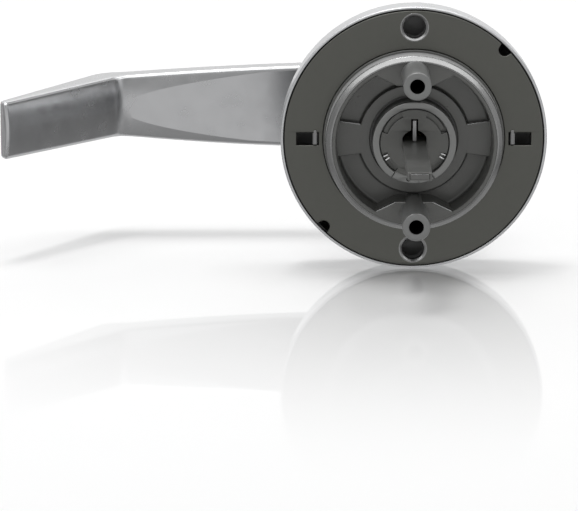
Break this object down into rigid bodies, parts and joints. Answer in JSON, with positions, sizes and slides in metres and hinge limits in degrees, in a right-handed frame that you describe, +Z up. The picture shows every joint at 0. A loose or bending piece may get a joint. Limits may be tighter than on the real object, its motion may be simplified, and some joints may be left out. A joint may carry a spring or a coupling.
{
  "type": "exit device lever trim",
  "caption": "Round rose with two through-bolt posts and a door-bore ring, a sprung return lever with a key cylinder in its head, and a flat tailpiece that reaches through the door.",
  "frame": {"origin": "spindle axis in the plane where the rose bears on the door", "axes": "+Z up, -Y into the door along the spindle, +Y out of the door, lever reaches to -X"},
  "size_m": [0.1675, 0.1099, 0.081],
  "materials": {
    "satin_chrome": "satin",
    "dark_steel": "satin",
    "dark_casting": "satin",
    "post_steel": "turned",
    "bush_steel": "sintered",
    "screw_steel": "plain",
    "bright_steel": "ground",
    "spring_steel": "tempered",
    "sleeve_steel": "turned",
    "ring_steel": "phosphated",
    "lever_satin": "satin",
    "brass": "machined",
    "plug_face": "satin",
    "driver_steel": "sintered",
    "tail_steel": "zinc plated"
  },
  "bodies": {
    "rose": {"rose_cover": "satin_chrome", "mounting_plate": "dark_steel", "spring_housing": "dark_casting", "upper_post": "post_steel", "lower_post": "post_steel", "housing_bush": "bush_steel", "cage_cover": "dark_steel", "cage_screws": "screw_steel", "stop_pins": "bright_steel", "return_spring": "spring_steel", "right_rose_clip": "spring_steel", "left_rose_clip": "spring_steel"},
    "handle": {"spindle_sleeve": "sleeve_steel", "sleeve_ring": "spring_steel", "thrust_washer": "bright_steel", "drive_pin": "bright_steel", "driver_ring": "ring_steel", "lever": "lever_satin", "catch_spring": "spring_steel", "cylinder_shell": "brass", "driver_pins": "brass", "pin_springs": "spring_steel"},
    "key_plug": {"cylinder_plug": "plug_face", "key_pins": "brass", "plug_cap": "brass", "cylinder_blade": "bright_steel"},
    "driver": {"driver_disc": "driver_steel", "driver_hub": "driver_steel", "tailpiece_channel": "tail_steel", "tailpiece_bar": "bright_steel"},
    "catch": {"lever_catch": "bright_steel"}
  },
  "joints": [
    {"name": "lever_turn", "type": "hinge", "parent": "rose", "child": "handle", "pos_m": [0, 0.02, 0], "axis": [0, -1, 0], "range_deg": [0, 50], "stiffness_Nm_per_rad": 0.5, "springref_deg": -68.75, "deforming": ["return_spring"]},
    {"name": "key_turn", "type": "hinge", "parent": "handle", "child": "key_plug", "pos_m": [0, 0.045, 0], "axis": [0, -1, 0], "range_deg": [-90, 90]},
    {"name": "driver_turn", "type": "hinge", "parent": "handle", "child": "driver", "pos_m": [0, 0, 0], "axis": [0, -1, 0], "range_deg": [-90, 90]},
    {"name": "catch_press", "type": "slide", "parent": "handle", "child": "catch", "axis": [0, 0, 1], "range_m": [0, 0.0023], "stiffness_N_per_m": 1500, "springref_m": -0.003, "deforming": ["catch_spring"]}
  ],
  "couplings": [
    {"joint": "driver_turn", "follows": "key_turn", "ratio": 1}
  ]
}
